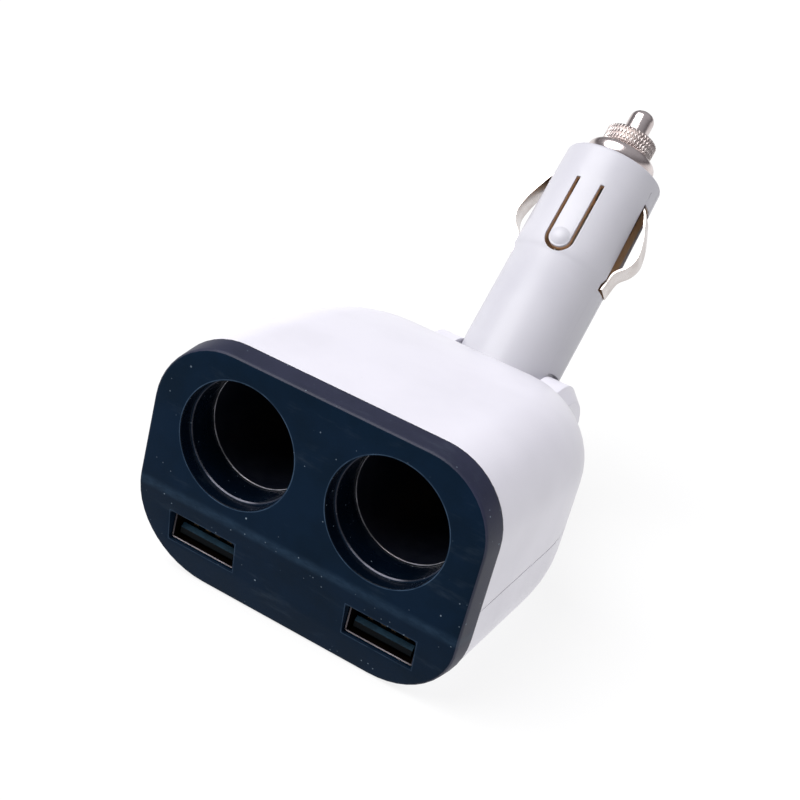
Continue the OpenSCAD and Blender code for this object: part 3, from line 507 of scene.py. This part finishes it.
finishOf = {
    "left_socket_liner": "liner", "right_socket_liner": "liner",
    "left_socket_well": "black", "right_socket_well": "black",
    "left_centre_contact": "brass", "right_centre_contact": "brass",
    "positive_bus_strip": "brass", "ground_bus_strip": "steel",
    "left_usb_shell": "usbMetal", "right_usb_shell": "usbMetal",
    "left_usb_tongue": "tongue", "right_usb_tongue": "tongue",
    "left_usb_contacts": "portContact", "right_usb_contacts": "portContact",
    "circuit_board": "board", "power_inductor": "ferrite", "capacitors": "can", "charger_chip": "chip",
    "body_leads": "sheath", "stem_leads": "sheath", "body_screws": "steel",
    "left_side_contact": "strip", "right_side_contact": "strip", "spring_terminal": "brass",
    "tip_spring": "steel", "fuse": "fuse", "contact_pin": "nickel", "tip_washer": "fibre", "nose_cap": "nickel",
}
for nodeName, finishName in finishOf.items():
    data = frame["nodes"][nodeName].data
    data.materials.clear()
    data.materials.append(finishes[finishName])
print("finishes made")


# A node's surface as one welded mesh, smooth where its faces meet at less than the crease angle
def makeMoulded(node, body, materials, crease=32):
    mesh = frame["nodes"][node].data.copy()
    mesh.name = node + "_moulded"
    if "custom_normal" in mesh.attributes:
        mesh.attributes.remove(mesh.attributes["custom_normal"])
    work = bmesh.new()
    work.from_mesh(mesh)
    bmesh.ops.remove_doubles(work, verts=work.verts, dist=0.001 * mm)
    bmesh.ops.dissolve_degenerate(work, edges=work.edges, dist=0.0005 * mm)
    for edge in work.edges:
        edge.smooth = len(edge.link_faces) == 2 and edge.calc_face_angle(0) < math.radians(crease)
    for face in work.faces:
        face.smooth = True
    work.to_mesh(mesh)
    work.free()
    mesh.materials.clear()
    for material in materials:
        mesh.materials.append(material)
    obj = bpy.data.objects.new(node + "_moulded", mesh)
    scene.collection.objects.link(obj)
    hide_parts(node)
    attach(obj, body)
    return obj


# The panel's band and mouths shine more than its face; the band's lighter colour is painted light and the
# mouths' darker colour painted shade; reaches in millimetres, slopes as parts of a normal
panelParts = {"mouthReach": 12.2, "portReach": 7.5, "portTop": 13, "portSlope": 0.6, "sideSlope": 0.9}
panel = makeMoulded("face_panel", "splitter_body", [faceDark, bandLitFinish, mouthShadedFinish])
for face in panel.data.polygons:
    spot = face.center / mm
    slope = abs(face.normal.y)
    inMouth = math.hypot(abs(spot.x) - socket.x, spot.z - socket.z) < panelParts["mouthReach"]
    inPort = abs(abs(spot.x) - portEdge["x"]) < panelParts["portReach"] and spot.z < panelParts["portTop"]
    if slope < panelParts["sideSlope"]:
        face.material_index = 2 if inMouth else 0 if inPort and slope < panelParts["portSlope"] else 1
for half in ("upper_shell", "lower_shell"):
    makeMoulded(half, "splitter_body", [white])
for half in ("stem_front_shell", "stem_back_shell"):
    makeMoulded(half, "plug_stem", [stemWhite])
for side in ("left", "right"):
    makeMoulded(side + "_side_contact", side + "_bow", [finishes["strip"]], 50)

# The tip spring as a welded mesh of its own; its length along the stem and the pin's travel are worked out, but
# nothing shortens it
spring = makeMoulded("tip_spring", "plug_stem", [finishes["steel"]], 70)
pinTravel = -joint("pin_press")["range_m"][0]
along = [(corner.co - hinge).dot(stemAxis) for corner in spring.data.vertices]
springLength = max(along) - min(along)
1 - pinTravel / springLength
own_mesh(spring)
print("mouldings made")

# Lengths run along the stem from its hinge, in millimetres
noseCap = {
    "skirtFrom": 51.8, "skirtR": 6.2, "boreR": 3.28, "shoulder": 62.15, "pinR": 2.48,
    "flange": [(57.8, 6.2), (57.8, 6.9), (57.95, 7.12), (58.3, 7.3), (58.8, 7.4), (59.4, 7.45), (59.9, 7.42),
               (60.4, 7.28), (60.8, 7.0), (61.1, 6.6), (61.3, 6.1), (61.38, 5.4), (61.4, 4.8)],
    "knurlFrom": 61.65, "knurlTo": 65.55, "knurlR": 5.42, "knurlDepth": 0.34, "knurlSharp": 1.7,
    "knurlEnd": 0.4, "topIn": 0.75, "ridges": 42, "slant": 0.42, "around": 504, "rows": 30, "crease": 40,
}


# Rings of points turned about the stem's axis, cut by two families of slanting grooves
def makeNoseCap(look):
    low, high = look["knurlFrom"], look["knurlTo"]
    knurlRows = [low + (high - low) * k / look["rows"] for k in range(look["rows"] + 1)]
    outline = [(look["skirtFrom"], look["skirtR"])] + look["flange"]
    outline += [(s, look["knurlR"]) for s in knurlRows]
    outline += [(high, look["knurlR"] - look["topIn"]), (high, look["pinR"]), (look["shoulder"], look["pinR"]),
                (look["shoulder"], look["boreR"]), (look["skirtFrom"], look["boreR"])]
    firstKnurl = 1 + len(look["flange"])
    lastKnurl = firstKnurl + len(knurlRows)
    around = look["around"]
    mesh = bmesh.new()
    rings = []
    for index, (s, r) in enumerate(outline):
        ring = []
        for k in range(around):
            angle = 2 * math.pi * k / around
            radius = r
            if firstKnurl <= index < lastKnurl:
                turn = look["ridges"] * angle / (2 * math.pi)
                lean = look["slant"] * (s - low)
                fromGroove = min(abs((turn + way * lean) % 1 * 2 - 1) for way in (1, -1))
                groove = max(1 - fromGroove * look["knurlSharp"], 0)
                ending = max(0, look["knurlEnd"] - min(s - low, high - s))
                radius = r - look["knurlDepth"] * groove - ending
            ring.append(mesh.verts.new(hinge + stemAxis * s * mm
                                       + Vector((math.cos(angle), 0, 0)) * radius * mm
                                       + stemAcross * math.sin(angle) * radius * mm))
        rings.append(ring)
    for index, (one, two) in enumerate(zip(rings, rings[1:] + rings[:1])):
        for k in range(around):
            n = (k + 1) % around
            face = mesh.faces.new((one[k], one[n], two[n], two[k]))
            face.material_index = 1 if firstKnurl <= index < lastKnurl - 1 else 0
    bmesh.ops.recalc_face_normals(mesh, faces=mesh.faces)
    for face in mesh.faces:
        face.smooth = True
    for edge in mesh.edges:
        edge.smooth = edge.calc_face_angle(0) < math.radians(look["crease"])
    data = bpy.data.meshes.new("nose_cap_turned")
    mesh.to_mesh(data)
    mesh.free()
    for finishName in ("nickel", "knurl"):
        data.materials.append(finishes[finishName])
    obj = bpy.data.objects.new("nose_cap_turned", data)
    scene.collection.objects.link(obj)
    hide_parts("nose_cap")
    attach(obj, "tip_cap")


makeNoseCap(noseCap)
print("nose cap turned and knurled")

studio = {
    "skyHigh": (0.47, 0.47, 0.49), "skyLow": (0.1, 0.088, 0.096), "horizon": (1.0, 1.0, 1.0),
    "sunStrength": 3.6, "sunWidth": 54, "sunFrom": (-0.6, -0.6, 1.2),
    "floorGlow": 0.83, "floorColour": (0.16, 0.16, 0.16), "floorReach": 30, "floorHeight": -0.0002,
}


# A white horizon under a sky that grows from dusk to bright, one wide soft key light and a glowing floor
def makeStudio(look):
    world = bpy.data.worlds.new("studio")
    scene.world = world
    sky = Finish("studio", world)
    up = sky.node("ShaderNodeSeparateXYZ", sockets={0: sky.place}, out="Z")
    tone = sky.mix(sky.fade(up, 0.1, 0.85), look["skyLow"] + (1,), look["skyHigh"] + (1,))
    tone = sky.mix(sky.fade(up, 0.08, 0.26), look["horizon"] + (1,), tone)
    back = sky.node("ShaderNodeBackground", sockets={"Color": tone, "Strength": 1.0})
    sky.tree.links.new(back.socket, sky.node("ShaderNodeOutputWorld", out=None).inputs["Surface"])
    sun = bpy.data.lights.new("key", "SUN")
    sun.energy = look["sunStrength"]
    sun.angle = math.radians(look["sunWidth"])
    key = bpy.data.objects.new("key", sun)
    scene.collection.objects.link(key)
    key.rotation_euler = Vector(look["sunFrom"]).to_track_quat("Z", "Y").to_euler()
    mesh = bpy.data.meshes.new("floor")
    reach, height = look["floorReach"], look["floorHeight"]
    corners = [(x * reach, y * reach, height) for x, y in ((-1, -1), (1, -1), (1, 1), (-1, 1))]
    mesh.from_pydata(corners, [], [(0, 1, 2, 3)])
    f = Finish("floor")
    shade = tuple(c * 0.985 for c in look["floorColour"])
    colour = f.mix(f.noise(300, 2), look["floorColour"] + (1,), shade + (1,))
    mesh.materials.append(f.done({
        "Base Color": colour, "Roughness": 0.9, "Specular IOR Level": 0.1,
        "Emission Color": (1, 1, 1, 1), "Emission Strength": look["floorGlow"]}))
    floor = bpy.data.objects.new("floor", mesh)
    scene.collection.objects.link(floor)


makeStudio(studio)
scene.view_settings.view_transform = "Standard"
print("studio lit")
